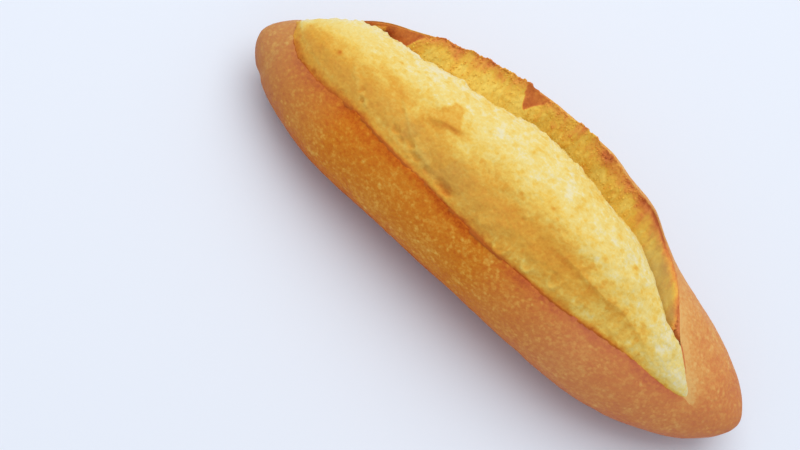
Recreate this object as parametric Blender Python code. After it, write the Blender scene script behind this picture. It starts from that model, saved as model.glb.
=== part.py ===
"""Banh mi roll: a short, plump baguette whose one long slash has burst open.

The roll is one solid, lofted from cross sections along its length. Each section
runs once round the roll: from the front edge of the slash, down the front, under
the base, up the back to the root of the ear (the flap of crust that lifts behind
the slash), out to the ear's rim, down the ear's inner wall into the groove, and
over the bloom (the pale crumb that swelled out of the slash) to the front edge.
Beyond the two ends of the slash the section is a plain closed oval.

Frame: +X along the roll, -Y is the side that the slash leans towards, +Z is up.
The origin is on the resting surface, below the middle of the roll.
"""
import bmesh
import bpy
import numpy as np

NAME = "roll"
COLLECTION = "banh_mi_roll"

# Driving dimensions of the plain loaf, in metres.
LENGTH = 0.210
WIDTH = 0.0697
HEIGHT = 0.0566         # of the crust alone, before the ear and the bloom
TIP_RISE = 0.0175       # how high the rounded tips lift
BASE_PRESS = 0.0030     # how much of the oval the resting spot flattens
BASE_SOFTNESS = 0.0004  # how gently the flat spot turns up into the side

# The plan outline is (1 - |place| ** PLAN_FULLNESS) ** (1 / PLAN_ROUNDNESS).
PLAN_FULLNESS = 2.07
PLAN_ROUNDNESS = 1.805
TIP_RISE_POWER = 1.8    # keeps the lift to the ends of the roll

# Stations: (place, value). A place runs from -1 at the left tip to 1 at the right.
SLASH_START = -0.925
SLASH_END = 0.81
# Angles round the oval, in degrees from the top; positive is towards the front.
FRONT_EDGE_DEG = [
    (SLASH_START, -34), (-0.905, -7), (-0.86, 17), (-0.78, 29.5), (-0.70, 33), (-0.62, 33.6),
    (-0.35, 43.2), (0.056, 49.2), (0.305, 44.6), (0.554, 35.8), (0.75, 36.2), (SLASH_END, 34)]
EAR_ROOT_DEG = [
    (SLASH_START, -34), (-0.90, -39.5), (-0.86, -46), (-0.797, -47.5), (-0.5, -50.4), (0, -42.2),
    (0.305, -41.1), (0.38, -44.6), (0.45, -46.9), (0.53, -36.5), (0.59, -18.9), (0.65, -0.7),
    (0.73, 16.4), (SLASH_END, 34)]
# The roll isn't quite straight: its middle line's sideways bend, in metres.
BEND = [
    (-1, -0.0038), (-0.85, -0.0031), (-0.65, -0.0022), (-0.3, 0.0006), (0, 0.0005),
    (0.3, -0.0021), (0.55, -0.0046), (0.8, -0.0034), (1, -0.0013)]
# How far the ear stands open and how high the bloom swells, as shares of the profiles below.
EAR_LIFT = [
    (SLASH_START, 0.15), (-0.85, 0.34), (-0.75, 1.0), (-0.6, 0.86), (-0.3, 0.86), (0, 0.945),
    (0.2, 0.99), (0.35, 0.94), (0.43, 0.40), (0.5, 0.15), (0.6, 0.05), (0.7, 0.12), (SLASH_END, 0)]
BLOOM_SWELL = [
    (SLASH_START, 1.32), (-0.85, 1.41), (-0.7, 1.05), (-0.5, 0.75), (-0.25, 0.75), (0.05, 0.955),
    (0.35, 0.99), (0.55, 0.80), (0.7, 0.94), (SLASH_END, 0.8)]
# How far back the bloom and its groove reach, as a share of their drawn reach past the
# slash's middle.
BLOOM_REACH = [
    (SLASH_START, 0.78), (-0.75, 1.33), (-0.62, 1.035), (-0.52, 0.87), (-0.40, 0.795), (-0.27, 0.79),
    (-0.12, 0.94), (-0.02, 0.98), (0.06, 0.96), (0.16, 0.92), (0.25, 0.875), (0.33, 0.85),
    (0.40, 0.705), (0.47, 0.475), (0.53, 0.35), (0.58, 0.39), (0.63, 0.77), (0.68, 1.09),
    (0.74, 0.99), (SLASH_END, 1.0)]

# Profiles across the slash, as (along, out) in shares of the slash's width: along runs
# from 0 at the front edge to 1 at the ear's root, and out points away from the loaf.
EAR_RIM = (1.045, 0.15)
GROOVE_BOTTOM = (0.915, -0.085)
EAR_WALL = [EAR_RIM, (1.03, 0.12), (0.99, 0.055), (0.945, -0.03), GROOVE_BOTTOM]
BLOOM = [
    GROOVE_BOTTOM, (0.885, 0), (0.862, 0.085), (0.80, 0.165), (0.70, 0.225), (0.56, 0.262),
    (0.42, 0.262), (0.28, 0.228), (0.16, 0.165), (0.07, 0.085), (0.022, 0.02), (0, -0.02)]
EAR_FLARE_DEG = 55      # stretch of the back crust that the ear pulls outwards
EAR_FLARE_POWER = 1.3

# Folds of the bloom: (place, along, half length, half width, height in metres).
FOLDS = [
    (-0.36, 0.46, 0.12, 0.14, 0.0011),
    (0.30, 0.36, 0.22, 0.10, 0.0013),
    (-0.62, 0.40, 0.10, 0.20, 0.0008),
    (0.02, 0.22, 0.20, 0.08, -0.0009)]
# Waves of the torn rim: (height in metres, radians per half length, phase in radians).
RIM_WAVES = [(0.0007, 9.3, 0.4), (0.0005, 17.7, 5.2), (0.0003, 31.0, 4.0)]

# Points of the loft.
STATIONS = 66
CRUST_POINTS = 30
WALL_POINTS = 4
BLOOM_POINTS = 14
MERGE_DISTANCE = 0.00002

# Finishes: linear base colour and roughness.
CRUST_COLOUR = (0.50, 0.19, 0.040, 1.0)
CRUST_ROUGHNESS = 0.52
BLOOM_COLOUR = (0.80, 0.53, 0.15, 1.0)
BLOOM_ROUGHNESS = 0.85
CRUST_SLOT = 0
BLOOM_SLOT = 1


def ease(t):
    """Smooth step from 0 to 1."""
    t = np.clip(t, 0, 1)
    return t * t * (3 - 2 * t)


def along(stations, place):
    """Read a smooth curve through the stations (a cubic with averaged slopes)."""
    at, value = np.array(stations, float).T
    slope = np.gradient(value, at)
    place = np.clip(place, at[0], at[-1])
    i = np.clip(np.searchsorted(at, place) - 1, 0, len(at) - 2)
    step = at[i + 1] - at[i]
    t = (place - at[i]) / step
    start = value[i] * (1 + 2 * t) * (1 - t) ** 2 + slope[i] * step * t * (1 - t) ** 2
    end = value[i + 1] * t * t * (3 - 2 * t) + slope[i + 1] * step * t * t * (t - 1)
    return start + end


def profile_points(profile, count):
    """Points evenly spaced along a smooth curve through a profile, the first left out."""
    points = np.array(profile, float)
    lengths = np.linalg.norm(np.diff(points, axis=0), axis=1)
    at = np.concatenate([[0], np.cumsum(lengths)]) / lengths.sum()
    t = np.linspace(0, 1, count + 1)[1:]
    return along(np.c_[at, points[:, 0]], t), along(np.c_[at, points[:, 1]], t)


def plan_share(place):
    """How full the roll is at a place: 1 in the middle, 0 at the tips."""
    return np.clip(1 - np.abs(place) ** PLAN_FULLNESS, 0, 1) ** (1 / PLAN_ROUNDNESS)


def settle(z):
    """Press the underside flat at z = 0, with a soft turn up into the side."""
    return np.where(z > 0, z * z / (np.abs(z) + BASE_SOFTNESS), 0.0)


def skin(place, angle_deg):
    """Point (y, z) of the unslashed loaf at a place and an angle round the oval."""
    share = plan_share(place)
    half_height = HEIGHT / 2 * share
    middle = half_height - BASE_PRESS * share + TIP_RISE * (1 - share) ** TIP_RISE_POWER
    angle = np.radians(angle_deg)
    y = along(BEND, place) - WIDTH / 2 * share * np.sin(angle)
    z = middle + half_height * np.cos(angle)
    return y, settle(z)


def fold_height(place, across):
    """Height of the bloom's folds: a sum of soft oval swellings."""
    height = np.zeros(np.broadcast(place, across).shape)
    for at, at_across, half_length, half_width, swell in FOLDS:
        distance = ((place - at) / half_length) ** 2 + ((across - at_across) / half_width) ** 2
        height += swell * np.exp(-distance)
    return height


def draw_in(a, reach):
    """Draw what lies past the middle of the slash in towards the middle."""
    return a + np.maximum(a - 0.5, 0) * (reach - 1)


def rim_height(place):
    """Height of the torn rim's waves: a sum of sines, still at the slash's ends."""
    inside = ease((place - SLASH_START) / 0.15) * ease((SLASH_END - 0.35 - place) / 0.3)
    waves = sum(h * np.sin(n * place + phase) for h, n, phase in RIM_WAVES)
    return inside * waves


def sections(place):
    """All cross sections, as arrays (y, z) with one row for each place."""
    place = place[:, None]
    front_deg = along(FRONT_EDGE_DEG, place)
    ear_deg = along(EAR_ROOT_DEG, place)
    front_y, front_z = skin(place, front_deg)
    ear_y, ear_z = skin(place, ear_deg)
    width_y = ear_y - front_y
    width_z = ear_z - front_z
    width = np.hypot(width_y, width_z)
    open_share = ease(width / 0.012)

    def across(a, out, extra):
        """Point of the slash: a share along its width, out from it, plus extra metres."""
        reach = out + extra * open_share / np.maximum(width, 1e-9)
        return front_y + width_y * a - width_z * reach, front_z + width_z * a + width_y * reach

    lift = along(EAR_LIFT, place)
    rim_y, rim_z = across(1 + (EAR_RIM[0] - 1) * lift, EAR_RIM[1] * lift, rim_height(place))

    t = np.linspace(0, 1, CRUST_POINTS + 1)
    angle = front_deg + (360 + ear_deg - front_deg) * t
    crust_y, crust_z = skin(place, angle)
    flare = ease(1 + (angle - 360 - ear_deg) / EAR_FLARE_DEG) ** EAR_FLARE_POWER
    crust_y = crust_y + (rim_y - ear_y) * flare
    crust_z = crust_z + (rim_z - ear_z) * flare

    reach = along(BLOOM_REACH, place)
    a, out = profile_points(EAR_WALL, WALL_POINTS)
    down = np.arange(1, WALL_POINTS + 1) / WALL_POINTS
    standing = np.where(a > 1, 1 + (a - 1) * lift, a)
    wall_y, wall_z = across(standing * (1 - down) + draw_in(a, reach) * down,
                            np.where(out > 0, out * lift, out), rim_height(place) * (1 - down))

    a, out = profile_points(BLOOM, BLOOM_POINTS)
    swell = along(BLOOM_SWELL, place)
    bloom_y, bloom_z = across(draw_in(a, reach), np.where(out > 0, out * swell, out),
                              fold_height(place, a) * ease(out / 0.1))
    y = np.concatenate([crust_y, wall_y, bloom_y], axis=1)
    z = np.concatenate([crust_z, wall_z, bloom_z], axis=1)
    return y, z


def station_places():
    """Places of the cross sections: closer towards the tips, and one at each slash end."""
    places = np.sin(np.linspace(-np.pi / 2, np.pi / 2, STATIONS))
    for end in (SLASH_START, SLASH_END):
        places[np.argmin(np.abs(places - end))] = end
    return places


def loft(x, y, z):
    """Closed mesh through the sections; the tips and the closed slash merge to one skin."""
    rows, columns = y.shape
    points = np.stack([np.broadcast_to(x[:, None], y.shape), y, z], axis=-1).reshape(-1, 3)
    row, column = np.mgrid[0:rows - 1, 0:columns]
    after = (column + 1) % columns
    corners = [row * columns + column, row * columns + after,
               (row + 1) * columns + after, (row + 1) * columns + column]
    faces = np.stack(corners, axis=-1).reshape(-1, 4)
    slots = np.where(column.ravel() < CRUST_POINTS, CRUST_SLOT, BLOOM_SLOT)
    mesh = bpy.data.meshes.new(NAME)
    mesh.from_pydata(points.tolist(), [], faces.tolist())
    mesh.polygons.foreach_set("material_index", slots.astype(np.int32))
    solid = bmesh.new()
    solid.from_mesh(mesh)
    bmesh.ops.remove_doubles(solid, verts=solid.verts, dist=MERGE_DISTANCE)
    bmesh.ops.triangulate(solid, faces=solid.faces)
    bmesh.ops.recalc_face_normals(solid, faces=solid.faces)
    solid.to_mesh(mesh)
    solid.free()
    return mesh


def finish(name, colour, roughness):
    """Plain Principled material."""
    material = bpy.data.materials.new(name)
    material.use_nodes = True
    shader = material.node_tree.nodes["Principled BSDF"]
    shader.inputs["Base Color"].default_value = colour
    shader.inputs["Roughness"].default_value = roughness
    shader.inputs["Metallic"].default_value = 0.0
    material.diffuse_color = colour
    return material


def main():
    for old in list(bpy.data.objects):
        bpy.data.objects.remove(old)

    places = station_places()
    y, z = sections(places)
    y = y - (y.min() + y.max()) / 2
    mesh = loft(LENGTH / 2 * places, y, z)
    mesh.materials.append(finish("crust", CRUST_COLOUR, CRUST_ROUGHNESS))
    mesh.materials.append(finish("bloom", BLOOM_COLOUR, BLOOM_ROUGHNESS))
    mesh.shade_smooth()
    mesh.set_sharp_from_angle(angle=np.radians(60))

    collection = bpy.data.collections.new(COLLECTION)
    bpy.context.scene.collection.children.link(collection)
    collection.objects.link(bpy.data.objects.new(NAME, mesh))
    size = [1000 * side for side in (np.ptp(places) * LENGTH / 2, np.ptp(y), np.ptp(z))]
    print("roll, mm:", [round(side, 1) for side in size], "triangles:", len(mesh.polygons))


main()
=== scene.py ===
# %% [markdown]
# # A banh mi roll
#
# A banh mi roll is a short, plump wheat baguette. Before it is baked, the baker cuts one
# long slash along its top. In the oven the slash bursts: behind it a flap of crust lifts
# into an ear, and in front of the ear the pale inner dough swells into a smooth dome, the
# bloom. The lesson follows the oven: crust, torn ear, bloom, and the flakes on the tear.
#
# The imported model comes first. It fixes the size and place of the roll, and nothing here
# moves it. All lengths are in metres.

import bpy
import numpy as np
from mathutils import Matrix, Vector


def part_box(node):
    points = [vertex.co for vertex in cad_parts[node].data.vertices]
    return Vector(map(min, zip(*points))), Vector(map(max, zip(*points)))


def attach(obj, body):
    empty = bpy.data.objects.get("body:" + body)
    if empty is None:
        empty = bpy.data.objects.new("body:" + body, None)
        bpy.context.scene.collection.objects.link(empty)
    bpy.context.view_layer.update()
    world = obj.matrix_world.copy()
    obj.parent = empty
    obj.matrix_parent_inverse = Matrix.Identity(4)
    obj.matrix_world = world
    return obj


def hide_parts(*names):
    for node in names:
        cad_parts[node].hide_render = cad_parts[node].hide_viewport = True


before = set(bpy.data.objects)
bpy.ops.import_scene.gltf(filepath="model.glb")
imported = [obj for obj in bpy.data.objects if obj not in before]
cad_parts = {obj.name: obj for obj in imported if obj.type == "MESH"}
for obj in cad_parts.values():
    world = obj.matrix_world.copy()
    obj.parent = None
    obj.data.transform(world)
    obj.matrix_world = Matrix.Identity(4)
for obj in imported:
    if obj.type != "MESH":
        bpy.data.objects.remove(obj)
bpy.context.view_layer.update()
low, high = (np.array(corner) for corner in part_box("roll"))
LENGTH = high[0] - low[0]
print("the packed roll measures, mm:", (1000 * (high - low)).round(1))


def unit(vectors):
    """The same vectors with a length of 1."""
    return vectors / np.linalg.norm(vectors, axis=-1, keepdims=True)


def beside(*arrays):
    """These arrays joined column by column."""
    return np.concatenate(arrays, axis=1)


def frame_matrix(x, y, z, place):
    """World matrix of an object with these three axes that stands at this place."""
    return Matrix([[x[i], y[i], z[i], place[i]] for i in range(3)] + [[0, 0, 0, 1]])


# %% [markdown]
# ## Camera
#
# The roll is long, so it is seen from high over its side and lies across the picture on
# a slant. Instead of turning the roll, which has to keep its place, the camera rolls
# about its own line of sight. The camera's three axes are worked out from an elevation
# and that roll, which is easier to reason about than three Euler angles.

# %% Camera
ELEVATION = np.radians(60)
CAMERA_ROLL = np.radians(40.3)
CAMERA_DISTANCE = 0.6
LENS = 79
NEAREST_SEEN = 0.01
SEEN_POINT = np.array([0, -0.0025, 0.0145])
ROLL_RIGHT_OF_MIDDLE = 0.0329
ROLL_BELOW_MIDDLE = 0.0013


def camera_matrix():
    """World matrix of the camera: it stands back from the seen point along the elevation,
    with its axes turned by the roll, and looks a little beside that point."""
    back = np.array([0, -np.cos(ELEVATION), np.sin(ELEVATION)])
    side = np.array([1.0, 0, 0])
    rise = np.cross(back, side)
    right = side * np.cos(CAMERA_ROLL) + rise * np.sin(CAMERA_ROLL)
    up = -side * np.sin(CAMERA_ROLL) + rise * np.cos(CAMERA_ROLL)
    place = SEEN_POINT + CAMERA_DISTANCE * back
    aim = SEEN_POINT - ROLL_RIGHT_OF_MIDDLE * right + ROLL_BELOW_MIDDLE * up
    z = unit(place - aim)
    x = unit(np.cross(up, z))
    y = np.cross(z, x)
    return frame_matrix(x, y, z, place)


camera_data = bpy.data.cameras.new("camera")
camera_data.lens = LENS
camera_data.clip_start = NEAREST_SEEN
camera = bpy.data.objects.new("camera", camera_data)
camera.matrix_world = camera_matrix()
bpy.context.scene.collection.objects.link(camera)
bpy.context.scene.camera = camera
print("camera stands at, m:", [round(v, 3) for v in camera.matrix_world.translation])

# %% [markdown]
# ## Table and light
#
# The roll lies on a pale, nearly white table, with daylight from a large window behind
# it. One big area light stands for the window, and a pale blue world for the rest of the
# room, which fills the shadows. A second lamp in front could fill them too, but it would
# draw its own shine on the crust. The plain view transform keeps a light crumb from going
# grey.

# %% Table and light
FLOOR_REACH = 3.0
FLOOR_COLOUR = (0.778, 0.828, 0.9, 1)
FLOOR_ROUGHNESS = 0.6
WINDOW_PLACE = (-0.22, 0.34, 1.15)
WINDOW_SIZE = 1.5
WINDOW_POWER = 10.9
WINDOW_COLOUR = (1.0, 0.985, 0.955)
ROOM_COLOUR = (0.88, 0.91, 1.0, 1)
ROOM_STRENGTH = 0.64


def area_light(name, place, size, power, colour):
    """A square light that looks at the roll."""
    data = bpy.data.lights.new(name, "AREA")
    data.size = size
    data.energy = power
    data.color = colour
    lamp = bpy.data.objects.new(name, data)
    back = unit(np.array(place))
    x = unit(np.cross([0, 0, 1.0], back))
    y = np.cross(back, x)
    lamp.matrix_world = frame_matrix(x, y, back, place)
    bpy.context.scene.collection.objects.link(lamp)
    return lamp


window = area_light("window", WINDOW_PLACE, WINDOW_SIZE, WINDOW_POWER, WINDOW_COLOUR)

world = bpy.data.worlds.new("room")
world.use_nodes = True
world.node_tree.nodes["Background"].inputs["Color"].default_value = ROOM_COLOUR
world.node_tree.nodes["Background"].inputs["Strength"].default_value = ROOM_STRENGTH
bpy.context.scene.world = world
bpy.context.scene.view_settings.view_transform = "Standard"

floor_mesh = bpy.data.meshes.new("table")
signs = ((-1, -1), (1, -1), (1, 1), (-1, 1))
corners = [(FLOOR_REACH * x, FLOOR_REACH * y, float(low[2])) for x, y in signs]
floor_mesh.from_pydata(corners, [], [(0, 1, 2, 3)])
floor = bpy.data.objects.new("table", floor_mesh)
bpy.context.scene.collection.objects.link(floor)
table_paint = bpy.data.materials.new("table_paint")
table_paint.use_nodes = True
table_shader = table_paint.node_tree.nodes["Principled BSDF"]
table_shader.inputs["Base Color"].default_value = FLOOR_COLOUR
table_shader.inputs["Roughness"].default_value = FLOOR_ROUGHNESS
floor_mesh.materials.append(table_paint)
print("window stands at, m:", [round(v, 2) for v in window.location])

# %% [markdown]
# ## The plain loaf
#
# Everything on the roll hangs on one plain loaf: a row of ovals along X whose size
# follows a plump plan outline and whose underside is pressed flat where it rests. A point
# on it is found from two parameters, a place along the roll and an angle round the oval.
# Bread could be sculpted by hand instead, but a formula lets the ear, the bloom and all
# the crumbs ask where the loaf is.

# %% The plain loaf
WIDTH = 0.0697
HEIGHT = 0.0566
TIP_RISE = 0.0175
BASE_PRESS = 0.003
BASE_SOFTNESS = 0.0004
PLAN_FULLNESS = 2.07
PLAN_ROUNDNESS = 1.805
TIP_RISE_POWER = 1.8
BEND = [
    (-1, -0.0038), (-0.85, -0.0031), (-0.65, -0.0022), (-0.3, 0.0006), (0, 0.0005),
    (0.3, -0.0021), (0.55, -0.0046), (0.8, -0.0034), (1, -0.0013)]


def ease(t):
    """Smooth step: 3 t squared minus 2 t cubed, kept between 0 and 1."""
    t = np.clip(t, 0, 1)
    return t * t * (3 - 2 * t)


def rise(value, start, end):
    """0 up to the start, 1 from the end on, and eased in between. It falls instead when
    the start is the larger of the two."""
    return ease((value - start) / (end - start))


def along(stations, place):
    """Smooth curve through (place, value) stations: on each stretch a cubic that leaves
    and arrives with the average slope of its neighbours."""
    at, value = np.array(stations, float).T
    slope = np.gradient(value, at)
    place = np.clip(place, at[0], at[-1])
    i = np.clip(np.searchsorted(at, place) - 1, 0, len(at) - 2)
    step = at[i + 1] - at[i]
    t = (place - at[i]) / step
    start = value[i] * (1 + 2 * t) * (1 - t) ** 2 + slope[i] * step * t * (1 - t) ** 2
    end = value[i + 1] * t * t * (3 - 2 * t) + slope[i + 1] * step * t * t * (t - 1)
    return start + end


def plan_share(place):
    """Fullness of the outline: (1 - |place| to a power) to the power of one over another."""
    return np.clip(1 - np.abs(place) ** PLAN_FULLNESS, 0, 1) ** (1 / PLAN_ROUNDNESS)


def settle(z):
    """Flat underside: z squared over (z + a small softness), and 0 below the table."""
    return np.where(z > 0, z * z / (np.abs(z) + BASE_SOFTNESS), 0.0)


def skin(place, angle_deg):
    """Point (y, z) of the loaf: an oval whose axes shrink with the plan outline, whose
    middle rises towards the tips, and whose underside is settled."""
    share = plan_share(place)
    half_height = HEIGHT / 2 * share
    middle = half_height - BASE_PRESS * share + TIP_RISE * (1 - share) ** TIP_RISE_POWER
    angle = np.radians(angle_deg)
    y = along(BEND, place) - WIDTH / 2 * share * np.sin(angle)
    return y, settle(middle + half_height * np.cos(angle))


def even_places(first, last, count):
    """Places whose ovals are evenly spaced along the outline: the outline's length is
    summed on a fine row of places and read back at equal steps."""
    fine = np.sin(np.linspace(-np.pi / 2, np.pi / 2, 4001))
    run = np.hypot(np.diff(LENGTH / 2 * fine), np.diff(WIDTH / 2 * plan_share(fine)))
    run = np.concatenate([[0], np.cumsum(run)])
    first_run, last_run = np.interp([first, last], fine, run)
    return np.interp(np.linspace(first_run, last_run, count), run, fine)


half_way = skin(0.5, 0.0)
print("loaf half way to the right tip, mm:", [round(1000 * float(v), 1) for v in half_way])

# %% [markdown]
# ## The slash
#
# The slash runs on a slant: it starts behind the left tip and ends in a sharp point in
# front of the right one. At each place it is a straight line, the slash's width, from the
# front edge to the root of the ear. The profiles of the ear and the bloom are drawn once,
# in shares of that width, and every section scales them. That is how real bread behaves:
# where the cut opened wider, the ear stands taller and the bloom swells higher.

# %% The slash
SLASH_START = -0.925
SLASH_END = 0.81
FRONT_EDGE_DEG = [
    (SLASH_START, -34), (-0.905, -7), (-0.86, 17), (-0.78, 29.5), (-0.7, 33), (-0.62, 33.6),
    (-0.35, 43.2), (0.056, 49.2), (0.305, 44.6), (0.554, 35.8), (0.75, 36.2), (SLASH_END, 34)]
EAR_ROOT_DEG = [
    (SLASH_START, -34), (-0.9, -39.5), (-0.86, -46), (-0.797, -47.5), (-0.5, -50.4), (0, -42.2),
    (0.305, -41.1), (0.38, -44.6), (0.45, -46.9), (0.53, -36.5), (0.59, -18.9), (0.65, -0.7),
    (0.73, 16.4), (SLASH_END, 34)]
EAR_LIFT = [
    (SLASH_START, 0.15), (-0.85, 0.34), (-0.75, 1.0), (-0.6, 0.86), (-0.3, 0.86), (0, 0.945),
    (0.2, 0.99), (0.35, 0.94), (0.43, 0.4), (0.5, 0.15), (0.6, 0.05), (0.7, 0.12), (SLASH_END, 0)]
BLOOM_SWELL = [
    (SLASH_START, 1.32), (-0.85, 1.41), (-0.7, 1.05), (-0.5, 0.75), (-0.25, 0.75), (0.05, 0.955),
    (0.35, 0.99), (0.55, 0.8), (0.7, 0.94), (SLASH_END, 0.8)]
# How far back the bloom and its groove reach, as a share of their drawn reach past the
# slash's middle.
BLOOM_REACH = [
    (SLASH_START, 0.78), (-0.75, 1.33), (-0.62, 1.035), (-0.52, 0.87), (-0.4, 0.795),
    (-0.27, 0.79), (-0.12, 0.94), (-0.02, 0.98), (0.06, 0.96), (0.16, 0.92), (0.25, 0.875), (0.33, 0.85),
    (0.4, 0.705), (0.47, 0.475), (0.53, 0.35), (0.58, 0.39), (0.63, 0.79), (0.67, 1.21),
    (0.72, 1.38), (SLASH_END, 1.38)]
EAR_RIM = (1.045, 0.15)
GROOVE_BOTTOM = (0.915, -0.085)
# Waves of the ear's rim: (height in metres, radians for each unit of place, phase).
RIM_WAVES = [(0.0007, 9.3, 0.4), (0.0005, 17.7, 5.2), (0.0003, 31.0, 4.0)]
CLOSED_WIDTH = 0.0008   # a slash narrower than this is closed
OPEN_WIDTH = 0.004      # and once it is this much wider it is fully open
SEAM_HALF_WIDTH = 0.001


class Slash:
    """The slash at a column of places: its two edges, its width and its outward side."""

    def __init__(self, place):
        self.place = place[:, None]
        self.front_deg = along(FRONT_EDGE_DEG, self.place)
        self.ear_deg = along(EAR_ROOT_DEG, self.place)
        front = skin(self.place, self.front_deg)
        ear = skin(self.place, self.ear_deg)
        self.width = np.hypot(ear[0] - front[0], ear[1] - front[1])
        self.open = ease((self.width - CLOSED_WIDTH) / OPEN_WIDTH)
        # Past its ends the slash stays a hair-wide seam of plain skin, so that the grid
        # of faces never folds up into a point.
        radius = WIDTH / 2 * plan_share(self.place) + 1e-5
        seam = np.degrees(np.minimum(SEAM_HALF_WIDTH / radius, 0.3))
        middle = (self.front_deg + self.ear_deg) / 2
        half = np.maximum((self.front_deg - self.ear_deg) / 2, seam)
        self.front_deg = middle + half
        self.ear_deg = middle - half
        self.front_y, self.front_z = skin(self.place, self.front_deg)
        self.ear_y, self.ear_z = skin(self.place, self.ear_deg)
        self.width_y = self.ear_y - self.front_y
        self.width_z = self.ear_z - self.front_z
        self.size = np.hypot(self.width_y, self.width_z)
        self.lift = along(EAR_LIFT, self.place)
        self.swell = along(BLOOM_SWELL, self.place)
        self.reach = along(BLOOM_REACH, self.place)
        waves = sum(h * np.sin(n * self.place + phase) for h, n, phase in RIM_WAVES)
        self.rim_wave = waves * ease((self.place - SLASH_START) / 0.15)
        self.rim_wave = self.rim_wave * ease((SLASH_END - 0.35 - self.place) / 0.3)

    def draw_in(self, share):
        """Draw what lies past the middle of the slash in towards the middle."""
        return share + np.maximum(share - 0.5, 0) * (self.reach - 1)

    def wall(self, share, out):
        """The ear's side of a profile: it stands at the rim, and the lower it gets, the
        more it is drawn in. Also how much of the rim's wave is left at each point."""
        high = ease((out - GROOVE_BOTTOM[1]) / (EAR_RIM[1] - GROOVE_BOTTOM[1]))
        standing = np.where(share > 1, 1 + (share - 1) * self.lift * self.open, share)
        return standing * high + self.draw_in(share) * (1 - high), high

    def at(self, share, out, extra=0.0):
        """Point (y, z) at a share of the width from the front edge, and out from that line
        by a share of the width plus extra metres."""
        reach = out + extra / self.size
        y = self.front_y + self.width_y * share - self.width_z * reach
        z = self.front_z + self.width_z * share + self.width_y * reach
        return y, z


def profile(points, count):
    """A smooth curve through the drawn points, read at evenly spaced lengths."""
    points = np.array(points, float)
    lengths = np.linalg.norm(np.diff(points, axis=0), axis=1)
    at = np.concatenate([[0], np.cumsum(lengths)]) / lengths.sum()
    t = np.linspace(0, 1, count)
    return along(np.c_[at, points[:, 0]], t), along(np.c_[at, points[:, 1]], t)


middle_slash = Slash(np.array([0.0]))
print("slash is", round(1000 * float(middle_slash.width[0, 0]), 1), "mm wide in the middle")

# %% [markdown]
# ## Unevenness
#
# Nothing in bread repeats. Two kinds of seeded noise give it all its small shapes. The
# first blends random values on a cubic lattice, for lumps and torn crumb. The second
# scatters one spot in each cube of a lattice and measures how far away the nearest one
# is, for blisters, bubbles and pores. Both are worked out for whole arrays of points.

# %% Unevenness
LATTICE = 4096          # how many random values the lattice draws on


def noise(points, size, seed):
    """Lattice noise from -1 to 1: random values at the corners of cubes of this size,
    blended with eased weights."""
    rng = np.random.default_rng(seed)
    values = rng.uniform(-1, 1, LATTICE)
    order = rng.permutation(LATTICE)
    scaled = points / size
    cell = np.floor(scaled).astype(int)
    t = scaled - cell
    t = t * t * t * (t * (6 * t - 15) + 10)
    total = np.zeros(points.shape[:-1])
    for corner in np.ndindex(2, 2, 2):
        key = 0
        weight = 1.0
        for axis in range(3):
            key = order[(key + cell[..., axis] + corner[axis]) % LATTICE]
            weight = weight * (t[..., axis] if corner[axis] else 1 - t[..., axis])
        total += weight * values[key]
    return total


def rough(points, size, octaves, seed):
    """Noise on noise: each octave has half the size and half the height of the last."""
    total = sum(noise(points, size / 2 ** k, seed + k) / 2 ** k for k in range(octaves))
    return total / sum(0.5 ** k for k in range(octaves))


def spots(points, size, seed):
    """Distance to the nearest spot, as a share of the lattice size, and that spot's own
    random number. One spot lies somewhere in each cube; 27 cubes are looked at."""
    rng = np.random.default_rng(seed)
    values = rng.random((LATTICE, 4))
    order = rng.permutation(LATTICE)
    scaled = points / size
    cell = np.floor(scaled).astype(int)
    nearest = np.full(points.shape[:-1], np.inf)
    number = np.zeros(points.shape[:-1])
    for step in np.ndindex(3, 3, 3):
        key = 0
        for axis in range(3):
            key = order[(key + cell[..., axis] + step[axis] - 1) % LATTICE]
        centre = cell + np.array(step) - 1 + values[key][..., :3]
        distance = np.linalg.norm(scaled - centre, axis=-1)
        closer = distance < nearest
        nearest = np.where(closer, distance, nearest)
        number = np.where(closer, values[key][..., 3], number)
    return nearest, number


sample = np.random.default_rng(1).random((1000, 3))
sample_noise = noise(sample, 0.1, 3)
print("noise spans", sample_noise.min().round(2), "to", sample_noise.max().round(2))

# %% [markdown]
# ## From grid to mesh
#
# Each part of the roll is a closed skin: rings of points along the roll, joined by quads,
# with a fan of triangles to one point at each end. Building faces from the grid's own
# numbering means that no seam is left open. The sign of the enclosed volume says if the
# faces look outwards. Values that a finish needs, such as how dark the oven baked a
# point, travel with the mesh as attributes.

# %% From grid to mesh
def outward(points):
    """Unit normals of a closed ring grid: the cross product of its two directions."""
    round_way = np.roll(points, -1, axis=1) - np.roll(points, 1, axis=1)
    long_way = np.gradient(points, axis=0)
    normal = np.cross(round_way, long_way)
    normal = normal / np.maximum(np.linalg.norm(normal, axis=-1, keepdims=True), 1e-12)
    centre = points.mean(axis=1, keepdims=True)
    middle = points.shape[0] // 2
    faces_out = np.sum(normal[middle] * (points[middle] - centre[middle])) > 0
    return normal if faces_out else -normal


def ring_grid(place, y, z):
    """Grid of points (x, y, z) from the place of each ring and the y and z of its points."""
    x = np.broadcast_to(LENGTH / 2 * place[:, None], y.shape)
    return np.stack([x, y, z], axis=-1)


def run_along(grid):
    """How far each point lies from the first point of its ring, along the ring."""
    step = np.linalg.norm(np.diff(grid, axis=1), axis=-1)
    return beside(np.zeros((len(grid), 1)), np.cumsum(step, axis=1))


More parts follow.
